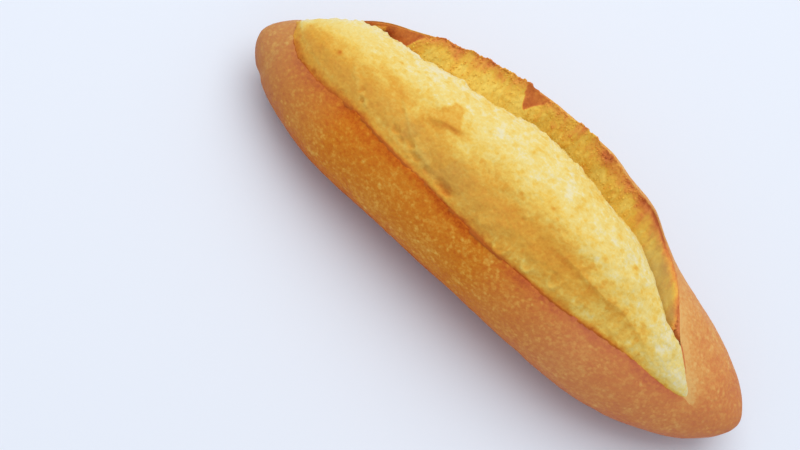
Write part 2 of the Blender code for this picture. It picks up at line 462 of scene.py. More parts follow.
def ring_mesh(name, grids, bake, thin_crumb_and_shade=0.0):
    """Closed skin through the rings of a grid: quads join each ring to the next, and a fan
    closes each end ring to its middle. A stack of grids makes one mesh of many skins. Each
    point keeps its bake and its share of dun, which marks thin crumb and painted shade, for the finish
    to read."""
    grids = grids.reshape(-1, *grids.shape[-3:])
    count, rows, columns = grids.shape[:3]
    verts = beside(grids.reshape(count, -1, 3), grids[:, [0, -1]].mean(axis=2))
    row, column = np.mgrid[0:rows - 1, 0:columns]
    after = (column + 1) % columns
    quads = np.stack([row * columns + column, row * columns + after,
                      (row + 1) * columns + after, (row + 1) * columns + column], axis=-1)
    quads = quads.reshape(-1, 4)
    column = np.arange(columns)
    after = (column + 1) % columns
    last = (rows - 1) * columns
    fans = np.concatenate([
        np.stack([after, column, np.full(columns, rows * columns)], axis=-1),
        np.stack([last + column, last + after, np.full(columns, rows * columns + 1)], axis=-1)])
    a, b, c, d = (verts[0][quads[:, i]] for i in range(4))
    if np.sum(a * np.cross(b, c)) + np.sum(a * np.cross(c, d)) < 0:
        quads = quads[:, ::-1]
        fans = fans[:, ::-1]
    skip = (np.arange(count) * verts.shape[1])[:, None, None]
    faces = (quads + skip).reshape(-1, 4).tolist() + (fans + skip).reshape(-1, 3).tolist()
    mesh = bpy.data.meshes.new(name)
    mesh.from_pydata(verts.reshape(-1, 3).tolist(), [], faces)
    mesh.shade_smooth()
    for label, value in (("bake", bake), ("thin_crumb_and_shade", thin_crumb_and_shade)):
        value = np.broadcast_to(value, grids.shape[:3])
        value = beside(value.reshape(count, -1), value[:, [0, -1]].mean(axis=2))
        attribute = mesh.attributes.new(label, "FLOAT", "POINT")
        attribute.data.foreach_set("value", value.ravel().astype(np.float32))
    piece = bpy.data.objects.new(name, mesh)
    bpy.context.scene.collection.objects.link(piece)
    print(name, "has", count * (2 * len(quads) + len(fans)), "triangles")
    return piece


def shift_to_box(y):
    """The sideways step that centres the loaf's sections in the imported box."""
    return (low[1] + high[1]) / 2 - (y.min() + y.max()) / 2


# %% [markdown]
# ## Crust
#
# The crust is the skin of the loaf with the slash cut into it. Each ring starts at the
# front lip, runs down the front, under the base and up the back to the ear, turns over
# the ear's rim, and comes back along a hidden floor under the bloom. The oven leaves
# shallow lumps, blisters of a millimetre or two where gas met the skin, a fine grain, and
# a soft crease that runs on from the slash over the left end. They could be sculpted or
# painted, but worked out from the point itself they stay in place when a size changes.

# %% Crust
CRUST_ROWS = 362
SKIN_COLUMNS = 224
INNER_COLUMNS = 36
LAST_PLACE = 0.99985    # of the end rings, just short of the tips
BASE_COARSENESS = 0.38  # how much wider apart the columns are under the base
EAR_FLARE_DEG = 55
EAR_FLARE_POWER = 1.3
CRUST_INSIDE = [
    EAR_RIM, (1.04, 0.118), (1.008, 0.05), (0.968, -0.04), (0.925, -0.13), (0.75, -0.18),
    (0.5, -0.17), (0.25, -0.14), (0.08, -0.09), (0.02, -0.045), (0.003, -0.014), (0, 0)]


def crust_grid():
    """The slash, the angle of each point of the skin round its oval, and the crust's rings."""
    place = even_places(-LAST_PLACE, LAST_PLACE, CRUST_ROWS)
    slash = Slash(place)
    t = np.linspace(0, 1, SKIN_COLUMNS)[None, :]
    t = t - BASE_COARSENESS / (2 * np.pi) * np.sin(2 * np.pi * t)
    angle = slash.front_deg + (360 + slash.ear_deg - slash.front_deg) * t
    y, z = skin(slash.place, angle)
    rim_share = 1 + (EAR_RIM[0] - 1) * slash.lift
    rim = slash.at(1 + (rim_share - 1) * slash.open, EAR_RIM[1] * slash.lift * slash.open,
                   slash.rim_wave * slash.open)
    flare = ease(1 + (angle - 360 - slash.ear_deg) / EAR_FLARE_DEG) ** EAR_FLARE_POWER
    y = y + (rim[0] - slash.ear_y) * flare
    z = z + (rim[1] - slash.ear_z) * flare

    share, out = profile(CRUST_INSIDE, INNER_COLUMNS + 2)
    share = share[None, 1:-1]
    out = out[None, 1:-1]
    drawn, high = slash.wall(share, out)
    ear_side = ease((share - 0.6) / 0.3)
    lifted = np.where((out > 0) & (share > 0.5), out * slash.lift, out)
    inner = slash.at(drawn * ear_side + share * (1 - ear_side), lifted * slash.open,
                     slash.rim_wave * high * ear_side * slash.open)
    # Where the slash is closed these columns lie evenly spread on the skin between its edges.
    even = np.linspace(0, 1, INNER_COLUMNS + 2)[None, 1:-1]
    closed = skin(slash.place, slash.ear_deg + (slash.front_deg - slash.ear_deg) * even)
    y = beside(y, closed[0] + (inner[0] - closed[0]) * slash.open)
    z = beside(z, closed[1] + (inner[1] - closed[1]) * slash.open)
    return slash, angle, ring_grid(place, y, z)


slash, angle, crust = crust_grid()
SIDE_STEP = shift_to_box(crust[..., 1])
crust[..., 1] += SIDE_STEP
# How far each point lies below the slash's front lip and below the ear's rim, along the skin.
below_lip = run_along(crust[:, :SKIN_COLUMNS])
below_rim = below_lip[:, -1:] - below_lip
print("skin measures", round(1000 * float(below_lip[CRUST_ROWS // 2, -1])), "mm round the middle")

# %% [markdown]
# The relief goes on along the outward normals and dies away under the base, which has to
# stay flat on the table. Then each point gets its bake, a number from 0 for pale gold to 1
# for dark toast. The blisters stay pale. The low sides and an uneven line below the lip are
# darkest, the low sides partly from the oven's toast and partly as painted shade, and golden
# spots cross the line. The back is paler as a painted highlight, and so is a strip just right
# of the crease. Where the slash opened last, near its right end, its edge had no time to brown.

# %% Crust relief and bake
CREASE_X = -0.0958
# Golden spots that cross the toasted line: (x, half length in metres, depth of bake).
GOLDEN_SPOTS = [(0.0047, 0.0016, 0.34), (0.0805, 0.005, 0.22), (-0.094, 0.005, 0.16)]
FAR = 0.1               # metres; stands for too far away to matter


def domes(points, size, smallest, largest, seed):
    """Heights, as shares of the lattice size, of low round domes: each spot is a half ball
    with its own radius between the smallest and the largest share."""
    distance, number = spots(points, size, seed)
    radius = smallest + (largest - smallest) * number ** 3
    return radius * np.sqrt(np.clip(1 - (distance / radius) ** 2, 0, 1))


def bell(value, middle, spread):
    """A smooth bell: 1 at the middle, and about a third one spread away from it."""
    return np.exp(-((value - middle) / spread) ** 2)


def crust_relief(points, opening, below_lip, below_rim):
    """Height of lumps, blisters, pimples and the crease, less at the lip, at the rim and
    under the base. Also how pale the blisters leave each point."""
    x, z = points[..., 0], points[..., 2]
    swell = 0.0004 * rough(points, 0.02, 2, 11) + 0.00016 * rough(points, 0.0045, 3, 21)
    blister = 0.0075 * domes(points, 0.0075, 0.06, 0.2, 31)
    pimple = 0.0026 * domes(points, 0.0026, 0.12, 0.36, 41)
    crease = -0.0004 * bell(x, CREASE_X, 0.0016) * rise(z, 0.03, 0.024)
    height = swell + 0.13 * blister + 0.14 * pimple + crease
    rim_side = 1 - opening * rise(below_rim, 0.002, 0)
    lip_side = 1 - opening * rise(below_lip, 0.001, 0)
    pale = ease(blister / 0.0009) + 0.6 * ease(pimple / 0.0005)
    return height * rim_side * lip_side * ease(z / 0.004), np.minimum(pale, 1.2)


def crust_bake(points, opening, below_lip, below_rim, angle, pale):
    """Bake of the crust: clouds, the line below the lip with its golden spots, the low sides,
    darker partly from toast and partly as painted shade, the back paler as a painted
    highlight, a painted highlight beside the crease, and the pale edges of the slash's last end."""
    x, z = points[..., 0], points[..., 2]
    place = x / (LENGTH / 2)
    clouds = rough(points, 0.012, 3, 51)
    bake = 0.515 + 0.1 * clouds + 0.09 * rough(points, 0.004, 2, 66)

    toast = ease(0.75 + 1.4 * rough(points, 0.0055, 2, 71))
    reach = 0.0044 * (1 + 0.6 * rough(points, 0.006, 2, 76))
    to_left = rise(place, -0.35, -0.6)
    line = (0.19 + 0.16 * toast) * (1 - 0.4 * to_left) * ease(1.15 - below_lip / reach)
    line += (0.03 + 0.08 * to_left) * rise(below_lip, 0.018, 0)
    for at, spread, depth in GOLDEN_SPOTS:
        line -= depth * bell(x, at, spread) * rise(below_lip, 0.007, 0)
    bake += line * opening

    # Painted shade, in part: the low sides are darker from the oven's toast and from shade painted low
    # on the roll.
    low_toast_and_shade = 0.36 * rise(z, 0.023, 0.013) + 0.25 * rise(z, 0.012, 0.002)
    bake += low_toast_and_shade * (1 - 0.35 * rise(place, 0.05, 0.25))
    # Painted highlight: the back is paler where the window light falls on it.
    bake -= 0.25 * rise(angle, 200, 290) * rise(np.abs(place), 0.98, 0.58)
    # Painted highlight: a strip just right of the crease is paler.
    bake -= 0.1 * bell(x, CREASE_X + 0.0008, 0.002) * rise(z, 0.01, 0.016)

    opened_last = rise(place, 0.56, 0.62) * rise(place, 0.84, 0.78) * ease(angle / 180)
    edge = 0.25 * rise(below_rim, 0.012, 0) + 0.22 * rise(below_rim, 0.0022, 0)
    past_end = rise(place, 0.76, 0.81) * rise(place, 0.86, 0.8)
    seam = 0.08 * rise(np.minimum(below_rim, below_lip), 0.006, 0)
    bake -= edge * opened_last + seam * past_end
    return bake - 0.2 * pale * (0.75 + 0.5 * clouds)


# The hidden columns inside the slash lie past the whole turn, far from the lip, at the rim.
ones = np.ones((CRUST_ROWS, INNER_COLUMNS))
past_lip = beside(angle - slash.front_deg, 360 * ones)
below_lip = beside(below_lip, FAR * ones)
below_rim = beside(below_rim, 0 * ones)
height, pale = crust_relief(crust, slash.open, below_lip, below_rim)
bake = crust_bake(crust, slash.open, below_lip, below_rim, past_lip, pale)
column = np.arange(crust.shape[1])
inside_bake = 0.62 + 0.3 * rise(column - crust.shape[1], -9, -3) + 0.1 * rough(crust, 0.003, 2, 81)
inside = (column >= SKIN_COLUMNS)[None, :]
bake = np.where(inside, bake + (inside_bake - bake) * slash.open, bake)
crust = crust + outward(crust) * height[..., None]
crust[..., 2] = np.maximum(crust[..., 2], low[2])
crust_piece = ring_mesh("crust", crust, bake)
print("relief of the crust, mm:", (1000 * np.array([height.min(), height.max()])).round(2))

# %% [markdown]
# ## Torn ear
#
# The inner side of the ear isn't skin. It was crumb that tore as the slash opened, so it
# is a wall of granules, strands and pits that browns towards its ragged rim. It is laid
# over the flap as a thin closed sheet of its own, much finer than the crust, because the
# tear has more small shape than anything else on the roll.

# %% Torn ear
EAR_FIRST = -0.9
EAR_LAST = 0.63
EAR_ROWS = 520
WALL_COLUMNS = 56
BACK_COLUMNS = 16
SHEET_THICKNESS = 0.0013
RIM_THICKNESS = 0.0004
TEAR_STRETCH = 2.2      # how much longer the torn grain runs down the wall than along it
PORE_SHADE = 12         # bake for each metre that a pore is deep
# Patches of smooth brown skin that hang from the rim: (place, half length, how far down
# in metres).
SKIN_PATCHES = [(-0.178, 0.048, 0.0085), (-0.63, 0.066, 0.012), (-0.72, 0.06, 0.0018)]
# Soft reddish smudges: (place, depth below the rim, half length, half depth), all but the
# place in metres.
SMUDGES = [
    (0.058, 0.0032, 0.0014, 0.0012), (0.105, 0.0018, 0.0022, 0.0016), (0.156, 0.003, 0.003, 0.0022),
    (-0.3, 0.003, 0.0025, 0.0015), (-0.455, 0.0035, 0.0018, 0.0014), (0.26, 0.0022, 0.005, 0.0016)]
EAR_WALL = [
    EAR_RIM, (1.03, 0.12), (0.99, 0.055), (0.945, -0.03), (0.905, -0.105), (0.88, -0.15)]


def ear_grid():
    """Rings of the torn sheet's open face, from its ragged rim down to the groove, and the
    face's normals. Also the depth of each point below the rim."""
    place = even_places(EAR_FIRST, EAR_LAST, EAR_ROWS)
    slash = Slash(place)
    share, out = profile(EAR_WALL, WALL_COLUMNS)
    lifted = np.where(out > 0, out * slash.lift, out)
    drawn, high = slash.wall(share, out)
    y, z = slash.at(drawn, lifted * slash.open, slash.rim_wave * high * slash.open)
    face = ring_grid(place, y + SIDE_STEP, z)
    depth = run_along(face)
    down = np.diff(face, axis=1)
    down = unit(beside(down, down[:, -1:]))

    along_rim = face[:, :1] * [1, 0, 0]
    teeth = 0.0012 * rough(along_rim, 0.0055, 2, 91)
    teeth += 0.0009 * np.abs(rough(along_rim, 0.0019, 2, 97))
    torn = rise(slash.place, -0.58, -0.52) * rise(slash.place, 0.24, 0.08)
    reach = (teeth + 0.0002) * torn - 0.0005 * (1 - torn)
    top = reach * rise(depth, 0.0035, 0)
    face = face - down * top[..., None]

    normal = unit(np.cross(np.gradient(face, axis=0), down))
    if normal[EAR_ROWS // 2, WALL_COLUMNS // 2, 1] > 0:
        normal = -normal
    return place, slash, face, normal, depth


def wall_points(length_unit, depth_unit):
    """The ear's face spread flat, with its length and its depth in these units."""
    return np.stack([ear[..., 0] / length_unit, ear_depth / depth_unit, 0 * ear_depth], axis=-1)


ear_place, ear_slash, ear, ear_normal, ear_depth = ear_grid()
on_wall = wall_points(1, TEAR_STRETCH)
folds = rough(wall_points(0.0042, 0.018), 1.0, 3, 101)
crumb = rough(on_wall, 0.0026, 3, 111)
granules = np.abs(rough(on_wall, 0.0012, 2, 116))
pores = 0.0024 * domes(on_wall, 0.0024, 0.12, 0.4, 121)
skin_patch = np.zeros(ear_depth.shape)
for at, half_length, reach in SKIN_PATCHES:
    side = 1 - np.abs(ear_slash.place - at + 0.014 * crumb) / half_length
    hang = np.minimum(side * reach, 0.88 * reach) + 0.0007 * crumb
    skin_patch = np.maximum(skin_patch, ease((hang - ear_depth) / 0.001 + 0.5))
rag = 0.5 + 0.5 * rise(ear_slash.place, 0.36, 0.11)
ear_height = 0.0011 * folds * ease(ear_depth / 0.003) + 0.0006 * (crumb + granules) - 0.12 * pores
ear_height = ear_height * rag * (0.45 + 0.55 * ease(ear_depth / 0.0008))
ear_height = np.maximum(0.0006 * ease(ear_depth / 0.002) + ear_height, -0.0002)
ear_height = ear_height * (1 - skin_patch) + 0.00035 * skin_patch
wall = ear + ear_normal * ear_height[..., None]
thickness = RIM_THICKNESS + (SHEET_THICKNESS - RIM_THICKNESS) * ease(ear_depth / 0.004)
behind = ear - ear_normal * thickness[..., None]
pick = np.round(np.linspace(WALL_COLUMNS - 1, 0, BACK_COLUMNS)).astype(int)
ear_ring = beside(wall, behind[:, pick])
end_teeth = 0.003 * np.abs(rough(ear_ring * [0, 1, 1], 0.002, 2, 131))
ear_ring[..., 0] -= end_teeth * rise(ear_slash.place, 0.6, 0.63)

browning = ease(1 - ear_depth / (0.0095 + 0.003 * crumb))
toasted = 0.1 + 0.38 * browning + 0.16 * rise(ear_depth, 0.0035, 0)
toasted += 0.28 * rough(on_wall, 0.0034, 3, 141) + 0.12 * rough(on_wall, 0.0012, 2, 146)
toasted += 0.2 * folds - 0.1 * granules + PORE_SHADE * pores
for at, depth, half_length, half_depth in SMUDGES:
    smudge = bell(ear[..., 0], at * LENGTH / 2, half_length) * bell(ear_depth, depth, half_depth)
    toasted += 0.24 * smudge
toasted = toasted * (1 - skin_patch) + (0.85 + 0.2 * crumb - 0.1 * granules) * skin_patch
burnt_rim = rise(ear_depth, 0.0022, 0) * rise(ear_slash.place, 0.5, 0.4)
toasted += rise(ear_slash.place, 0.1, 0.4) * (0.14 + 0.24 * burnt_rim)
ear_bake = beside(toasted, toasted[:, pick])
# Painted shade: below its rim, the right part of the torn wall is turned towards dun, where shade falls
# on it.
thin_crumb_and_shade = 0.62 * rise(ear_slash.place, 0.32, 0.46) * rise(ear_depth, 0.0012, 0.0052) * (1 + 0.4 * crumb)
ear_painted_shade = beside(thin_crumb_and_shade, thin_crumb_and_shade[:, pick])
ear_piece = ring_mesh("torn_ear", ear_ring, ear_bake, ear_painted_shade)
print("ear stands", round(1000 * float(ear_ring[..., 2].max()), 1), "mm above the table")

# %% [markdown]
# ## Bloom
#
# The bloom is crumb that swelled out of the slash and set before it could brown. Its top
# is pale cream with fine dents. Lower down, where it stretched last, it is golden and
# thin, with ragged pits, creases and the round skins of burst bubbles. One lump rides
# over a torn ledge, and a second ledge runs along the right half. The swelling is drawn
# as a profile, and the rest is added to it as heights in metres at known places.

# %% Bloom
BLOOM_ROWS = 440
BLOOM_COLUMNS = 184
UNDER_COLUMNS = 24
BLOOM = [
    (0.91, -0.16), (0.905, -0.085), (0.885, 0), (0.862, 0.085), (0.8, 0.165), (0.7, 0.225),
    (0.56, 0.262), (0.42, 0.262), (0.28, 0.228), (0.16, 0.165), (0.07, 0.085), (0.018, 0.025),
    (-0.001, 0.003), (-0.009, -0.0065), (-0.006, -0.022), (0.006, -0.06)]
BLOOM_UNDER = [(0.006, -0.06), (0.1, -0.2), (0.5, -0.24), (0.85, -0.22), (0.91, -0.16)]
STRAND_LENGTH = 3.5     # how much longer the strands run across the roll than along it
BLOOM_SINK = 0.0006     # metres that the bloom sinks where the slash is closed
# In front of its line a ledge falls off over the first share, and the shade of its foot
# has its middle and its spread at the other two.
LEDGE_DROP, FOOT_SHARE, FOOT_SPREAD = 0.028, -0.022, 0.026
PIT_SHADE = 150         # bake for each metre that a pit is deep
DENT_SHADE = 40         # and the same for the fine dents
# Folds: (place, share of the slash's width, half length, half width, height in metres).
FOLDS = [
    (-0.36, 0.46, 0.12, 0.14, 0.0011), (0.3, 0.36, 0.22, 0.1, 0.0013),
    (-0.62, 0.4, 0.1, 0.2, 0.0008), (0.02, 0.22, 0.2, 0.08, -0.0009)]
# Ledges: stations of the line (place, share), middle place, half length, height in metres,
# and how far behind the line the ledge dies away, as a share.
LUMP_LEDGE = (
    [(-0.42, 0.335), (-0.391, 0.32), (-0.345, 0.32), (-0.3, 0.345), (-0.26, 0.39),
     (-0.235, 0.43)], -0.325, 0.075, 0.0009, 0.16)
RIGHT_LEDGE = (
    [(0.1, 0.24), (0.18, 0.234), (0.25, 0.22), (0.305, 0.203), (0.369, 0.184), (0.49, 0.176),
     (0.6, 0.152)], 0.36, 0.24, 0.0009, 0.12)
# Dimples: (place, share, half length and half width in metres, depth in metres).
DIMPLES = [
    (-0.205, 0.058, 0.004, 0.0014, 0.0008), (-0.597, 0.141, 0.0007, 0.0011, 0.0006),
    (-0.575, 0.088, 0.0008, 0.0008, 0.0005), (-0.432, 0.101, 0.0016, 0.001, 0.0006),
    (-0.334, 0.059, 0.002, 0.001, 0.0006), (-0.282, 0.056, 0.0016, 0.0009, 0.0005),
    (-0.4, 0.075, 0.0014, 0.0009, 0.0005), (-0.37, 0.11, 0.0018, 0.0013, 0.0004)]
# Membranes, the skins of burst bubbles: (place, share, radius in metres, height in metres).
MEMBRANES = [
    (0.044, 0.06, 0.0028, 0.0005), (0.144, 0.062, 0.0019, 0.0005),
    (0.235, 0.085, 0.002, 0.00035), (-0.05, 0.085, 0.0015, 0.00025),
    (0.33, 0.08, 0.0017, 0.00025)]
# Creases where the crumb stretched: lines of (place, share).
CREASES = [
    [(-0.665, 0.27), (-0.646, 0.212), (-0.611, 0.139), (-0.558, 0.08)],
    [(-0.47, 0.27), (-0.443, 0.225), (-0.391, 0.14), (-0.342, 0.1), (-0.29, 0.085)],
    [(-0.25, 0.026), (-0.205, 0.018), (-0.16, 0.028)]]
# A smooth golden triangle under a lump: its place, the shares of its point and of its
# foot, and half the length of its foot.
GOLDEN_TRIANGLE = (-0.33, 0.555, 0.335, 0.066)
# Golden and brown clouds: (place, share, half length and half width in metres, bake).
CLOUDS = [
    (-0.563, 0.365, 0.0055, 0.0022, 0.12), (-0.508, 0.346, 0.006, 0.0026, 0.15),
    (-0.457, 0.3, 0.006, 0.0028, 0.13), (-0.785, 0.25, 0.013, 0.0055, 0.12),
    (-0.7, 0.16, 0.014, 0.005, 0.1), (-0.02, 0.215, 0.014, 0.0042, 0.11),
    (0.1, 0.2, 0.015, 0.004, 0.14), (0.227, 0.195, 0.012, 0.0034, 0.08),
    (0.33, 0.185, 0.012, 0.003, 0.05),
    (-0.205, 0.062, 0.0042, 0.0016, 0.16), (-0.215, 0.14, 0.0075, 0.0035, 0.1),
    (-0.07, 0.15, 0.005, 0.0022, 0.08), (0.05, 0.13, 0.011, 0.003, 0.07),
    (-0.78, 0.42, 0.016, 0.006, 0.05), (-0.13, 0.3, 0.006, 0.003, 0.07),
    (0.31, 0.085, 0.015, 0.004, 0.1), (0.35, 0.29, 0.012, 0.0032, 0.1)]
# Brown specks, in the same terms as the clouds.
SPECKS = [
    (-0.731, 0.294, 0.0009, 0.0008, 0.36), (0.091, 0.392, 0.001, 0.0007, 0.3),
    (0.405, 0.501, 0.001, 0.001, 0.4), (-0.56, 0.56, 0.001, 0.0007, 0.28),
    (0.12, 0.3, 0.0009, 0.0008, 0.22), (-0.01, 0.33, 0.001, 0.0008, 0.2),
    (0.3, 0.62, 0.0016, 0.0012, 0.18)]


def bloom_grid():
    """Rings of the bloom and the share of the slash's width of each column. Towards the
    slash's ends the bloom sinks into the seam."""
    place = even_places(SLASH_START, SLASH_END, BLOOM_ROWS)
    slash = Slash(place)
    share, out = profile(BLOOM, BLOOM_COLUMNS)
    swollen = np.where(out > 0, out * slash.swell, out)
    fold = np.zeros(swollen.shape)
    for at, at_share, half_length, half_width, swell in FOLDS:
        distance = ((slash.place - at) / half_length) ** 2 + ((share - at_share) / half_width) ** 2
        fold += swell * np.exp(-distance)
    fold = fold * ease(out / 0.1) * ease(slash.width / 0.012)
    sink = -BLOOM_SINK * rise(slash.width, OPEN_WIDTH, 0)
    top = slash.at(slash.draw_in(share), swollen, fold + sink)
    under_share, under_out = profile(BLOOM_UNDER, UNDER_COLUMNS + 2)
    under = slash.at(slash.draw_in(under_share[1:-1]), under_out[1:-1] * slash.open, -0.001)
    y = beside(top[0], under[0]) + SIDE_STEP
    z = beside(top[1], under[1])
    share = np.concatenate([share, under_share[1:-1]])
    return slash, share[None, :], ring_grid(place, y, z)


def ledge(slash, share, line, middle, half_length, height, reach):
    """A step: it stands highest on its line, falls off sharply in front of the line and
    slowly behind it, and fades towards both ends. Also the shade of its sharp foot."""
    distance = share - along(line, slash.place)
    fade = ease(1.25 - np.abs(slash.place - middle) / half_length)
    behind = np.exp(-np.maximum(distance, 0) / reach)
    before = np.exp(np.minimum(distance, 0) / LEDGE_DROP)
    return height * fade * behind * before, bell(distance, FOOT_SHARE, FOOT_SPREAD) * fade


def oval(at, at_share, half_length, half_width):
    """How many half sizes each point of the bloom lies from the middle of an oval."""
    lengthwise = (bloom[..., 0] - at * LENGTH / 2) / half_length
    crosswise = (share - at_share) * bloom_slash.size / half_width
    return np.hypot(lengthwise, crosswise)


def pit(at, at_share, half_length, half_width, depth):
    """Depth of a ragged oval pit: its floor sinks towards the lip, where its rim is steep."""
    lower = np.clip((at_share - share) * bloom_slash.size / half_width, -1, 1)
    away = np.abs(oval(at, at_share, half_length, half_width) + ragged)
    return depth * (1 + 0.7 * lower) * np.exp(-away ** 5)


def blots(table):
    """Bake of soft ovals: each is strongest in its middle and falls off as a bell."""
    return sum(bake * bell(oval(*place_and_size), 0, 1) for *place_and_size, bake in table)


def line_distance(line):
    """Distance in metres from each point of the bloom to a broken line of (place, share):
    the nearest point of every straight stretch, and the least of those."""
    size = bloom_slash.size
    flat = np.stack([bloom[..., 0], share * size], axis=-1)
    corners = [np.stack([0 * size + at * LENGTH / 2, at_share * size], axis=-1)
               for at, at_share in line]
    nearest = np.full(flat.shape[:2], np.inf)
    for a, b in zip(corners, corners[1:]):
        step = b - a
        t = np.sum((flat - a) * step, axis=-1) / np.sum(step * step, axis=-1)
        foot = a + np.clip(t, 0, 1)[..., None] * step
        nearest = np.minimum(nearest, np.linalg.norm(flat - foot, axis=-1))
    return nearest


bloom_slash, share, bloom = bloom_grid()
bloom_place = bloom_slash.place
bloom_normal = outward(bloom)
shown = ease((BLOOM_COLUMNS - np.arange(bloom.shape[1])) / 4)[None, :]
wobble = 0.03 * rough(bloom, 0.004, 3, 201)
lump, lump_foot = ledge(bloom_slash, share + wobble, *LUMP_LEDGE)
right_ledge, right_foot = ledge(bloom_slash, share + 0.4 * wobble, *RIGHT_LEDGE)
ragged = 0.55 * rough(bloom, 0.002, 2, 326)
pits = sum(pit(*dimple) for dimple in DIMPLES)
skins = np.zeros(bloom.shape[:2])
skin_edge = np.zeros(bloom.shape[:2])
for at, at_share, radius, rise_height in MEMBRANES:
    away = radius * oval(at, at_share, radius, radius)
    lower_side = ease(0.7 - (share - at_share) * bloom_slash.size / radius)
    ring = rise_height * lower_side * bell(away, radius, 0.0005)
    skins += ring - 0.8 * rise_height * ease(1.2 - away / radius)
    skin_edge += ring / 0.0005
crease_wobble = 0.0008 * rough(bloom, 0.0025, 2, 206)
crease = sum(bell(line_distance(line) + crease_wobble, 0, 0.0008) for line in CREASES)

stretched = rise(share, 0.27, 0.07)
strands = stretched * rough(bloom / [1, STRAND_LENGTH, STRAND_LENGTH], 0.0014, 3, 211)
dents = 0.003 * domes(bloom, 0.003, 0.08, 0.36, 251)
bloom_height = 0.0005 * rough(bloom, 0.014, 2, 221) + 0.00042 * rough(bloom, 0.0045, 3, 231)
bloom_height += 0.00016 * rough(bloom, 0.0012, 2, 241) - 0.26 * dents
bloom_height += lump + right_ledge + skins - pits + 0.00036 * strands + 0.00028 * crease
torn_edge = rise(share, 0.76, 0.82) * shown * (1 - 0.72 * rise(bloom_place, 0.05, 0.3))
crumbs = 0.0011 * np.abs(rough(bloom, 0.0022, 2, 256)) + 0.0006 * rough(bloom, 0.005, 2, 258)
bloom_height = (bloom_height + torn_edge * crumbs) * shown * ease(bloom_slash.width / 0.01)
bloom = bloom + bloom_normal * bloom_height[..., None]
print("relief of the bloom, mm:", (1000 * np.array([bloom_height.min(), bloom_height.max()])).round(2))

# %% [markdown]
# The bloom's bake is built up in the same way: golden towards the lip and pale on top,
# then noise, the clouds and the triangle under the lump, the shade of the small shapes,
# the toasted line at the lip, and last the pale right tip.

# %% Bake of the bloom
golden = 0.15 + 0.14 * rise(share, 0.56, 0.36) + 0.21 * rise(share, 0.34, 0.16)
left_tilt = rise(share, 0.45, 0.25) - rise(share, 0.6, 0.8)
golden = golden + 0.06 * rise(bloom_place, -0.1, -0.4) * left_tilt
golden = golden - 0.14 * rise(bloom_place, 0.15, 0.4) * rise(share, 0.55, 0.25)
mottle = rough(bloom, 0.005, 3, 271)
fine = rough(bloom, 0.0018, 3, 281)
freckles = rise(rough(bloom, 0.0022, 2, 291), 0.24, 0.44)
calm = 1 - 0.6 * rise(bloom_place, -0.6, -0.7)
speckle = calm * (0.09 * mottle + 0.17 * fine + 0.11 * freckles + 0.1 * strands)
bloom_bake = golden + 0.06 * rough(bloom, 0.016, 2, 261) + speckle
bloom_bake += blots(CLOUDS) * (1 + 0.7 * mottle)

at, point, foot, half_foot = GOLDEN_TRIANGLE
side = half_foot * np.clip((point - share) / (point - foot), 0, 1) - np.abs(bloom_place - at)
triangle = ease(side / 0.022 + 0.35 + 0.5 * fine)
triangle = triangle * ease((share - foot) / 0.04 + 0.6) * ease((point - share) / 0.05)
triangle_bake = 0.4 + 0.85 * (point - share) + 0.15 * fine
bloom_bake += 0.9 * triangle * (triangle_bake - bloom_bake)
bloom_bake = np.where(bloom_bake > 0.5, 0.5 + 0.45 * (bloom_bake - 0.5), bloom_bake)
bloom_bake += blots(SPECKS) + 0.3 * lump_foot + 0.13 * right_foot
bloom_bake += PIT_SHADE * pits + DENT_SHADE * dents - 0.12 * skin_edge - 0.1 * crease

from_lip = np.maximum(share, 0) * bloom_slash.size
lip_reach = 0.0012 + 0.001 * rise(bloom_place, -0.45, -0.65)
lip_reach = lip_reach * (1 + 0.8 * rough(bloom, 0.003, 2, 301))
late_lip = rise(bloom_place, 0.45, 0.65)
lip_toast = 0.3 * (1 - 0.6 * late_lip) * ease(1 - from_lip / lip_reach)
middle_lip = rise(bloom_place, -0.38, -0.13) * rise(bloom_place, 0.14, -0.04)
lip_toast += 0.14 * middle_lip * rise(from_lip, 0.00504, 0.00144)
scorch = (0.06 + 0.2 * rough(bloom, 0.005, 2, 331)) * (1 - late_lip)
scorch = scorch * rise(bloom_place, -0.9, -0.6)
lip_toast += scorch * rise(from_lip, 0.0007, 0) + 0.25 * rise(share, 0, -0.004)
bloom_bake += lip_toast - 0.08 * bell(from_lip, 0.0026, 0.0007)
bloom_bake -= 0.26 * rise(bloom_place, -0.865, -0.895)
pale_tip = rise(bloom_place, 0.52, 0.72) * rise(share, -0.05, 0.25)
bloom_bake = bloom_bake * (1 - 0.4 * pale_tip) + 0.05 * pale_tip * mottle

thin = rise(rough(bloom, 0.007, 3, 321), 0.02, 0.32)
thin = thin * rise(np.abs(bloom_place + 0.3), 0.2, 0.1)
low_left = rise(share, 0.28, 0.16) * rise(bloom_place, 0.15, -0.1) * rise(from_lip, 0.0008, 0.0028)
bloom_dull = (0.14 + 0.16 * thin) * low_left
bloom_piece = ring_mesh("bloom", bloom, bloom_bake, bloom_dull)
print("bloom reaches", round(1000 * float(bloom[..., 2].max()), 1), "mm above the table")

# %% [markdown]
# ## Flakes on the rim
#
# Where the ear tore, small shards of crumb still stand on its edge. Each is a flattened,
# dented ball less than a millimetre across. They are scattered with a seed along the torn
# part of the rim and joined into one mesh, because nobody handles them one by one.

# %% Flakes on the rim
FLAKE_COUNT = 800
FLAKE_RINGS = 6
FLAKE_SIDES = 8
FLAKE_FIRST = -0.6
FLAKE_LAST = 0.3


